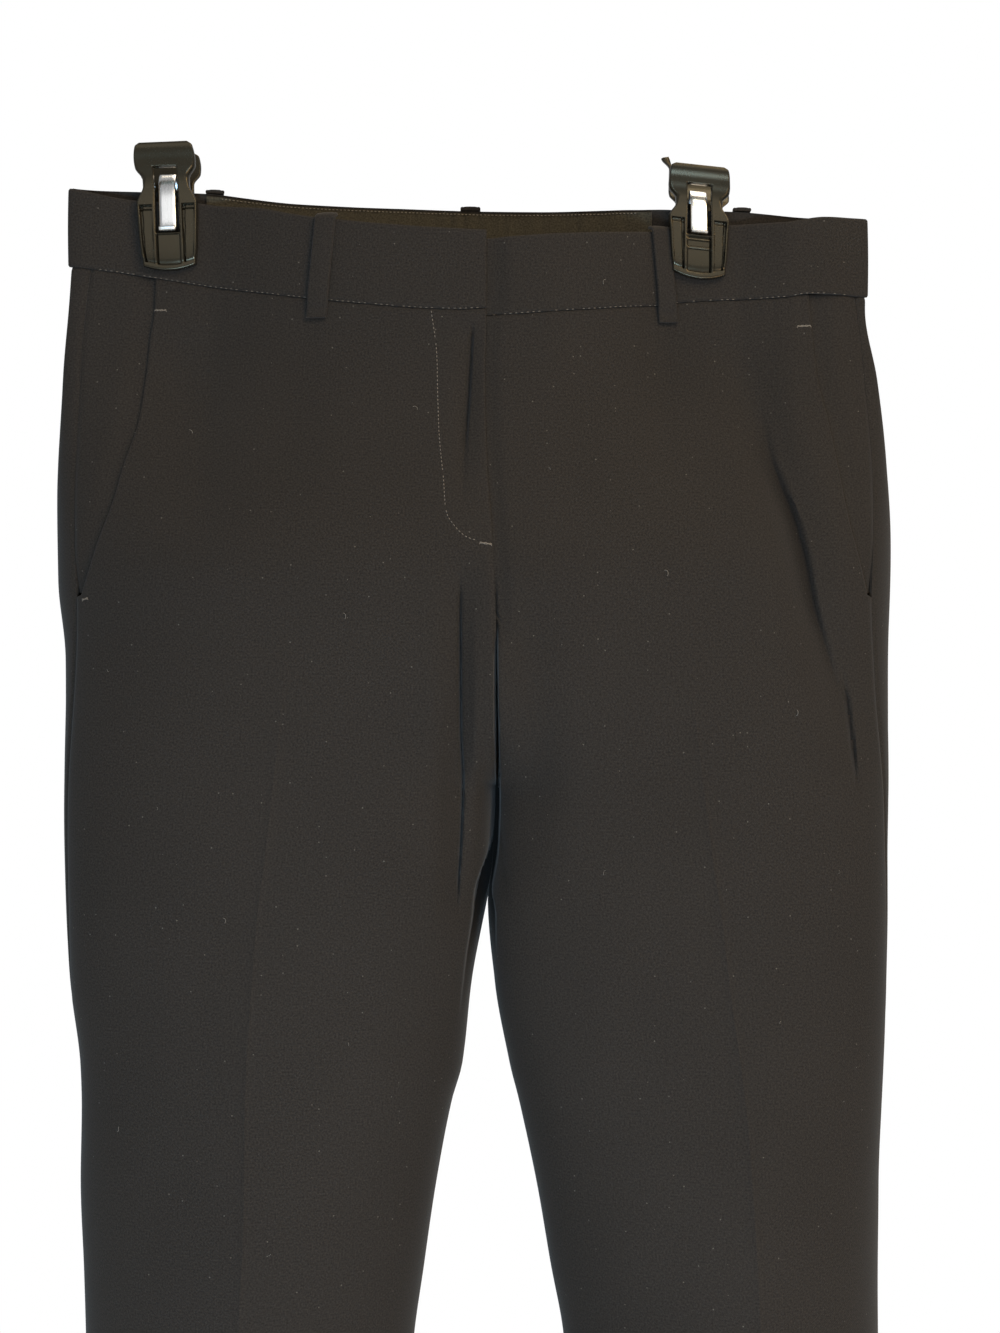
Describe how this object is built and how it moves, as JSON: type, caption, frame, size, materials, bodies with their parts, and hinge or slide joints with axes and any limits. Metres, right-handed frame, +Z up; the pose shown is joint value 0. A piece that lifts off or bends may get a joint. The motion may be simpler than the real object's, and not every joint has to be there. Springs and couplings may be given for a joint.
{
  "type": "straight-leg dress trousers held by two hanger clips",
  "caption": "Full-length dress trousers hanging by the waistband from two spring clips: waistband, belt loops, fly, slant pockets and pressed creases.",
  "frame": {"origin": "on the line of the rod that the two clips ride on, at the middle of the back waist", "axes": "+Z up, -Y out of the front, +X towards the wearer's left"},
  "size_m": [0.411, 0.148, 1.0751],
  "materials": {
    "trouser_cloth": "matte fine twill, near black",
    "waistband_facing": "matte dark brown-black",
    "clip_plastic": "glossy black moulding",
    "clip_spring": "bright spring steel"
  },
  "bodies": {
    "root": {"front_right": "trouser_cloth", "front_left": "trouser_cloth", "back_right": "trouser_cloth", "back_left": "trouser_cloth", "pocket_facing_right": "trouser_cloth", "pocket_facing_left": "trouser_cloth", "waistband_right": "trouser_cloth", "waistband_left": "trouser_cloth", "belt_loop_front_right": "trouser_cloth", "belt_loop_front_left": "trouser_cloth", "belt_loop_back_right": "trouser_cloth", "belt_loop_back_left": "trouser_cloth", "belt_loop_back_centre": "trouser_cloth", "waistband_facing": "waistband_facing", "clip_right_front_jaw": "clip_plastic", "clip_right_back_jaw": "clip_plastic", "clip_right_spring": "clip_spring", "clip_left_front_jaw": "clip_plastic", "clip_left_back_jaw": "clip_plastic", "clip_left_spring": "clip_spring"}
  },
  "joints": []
}
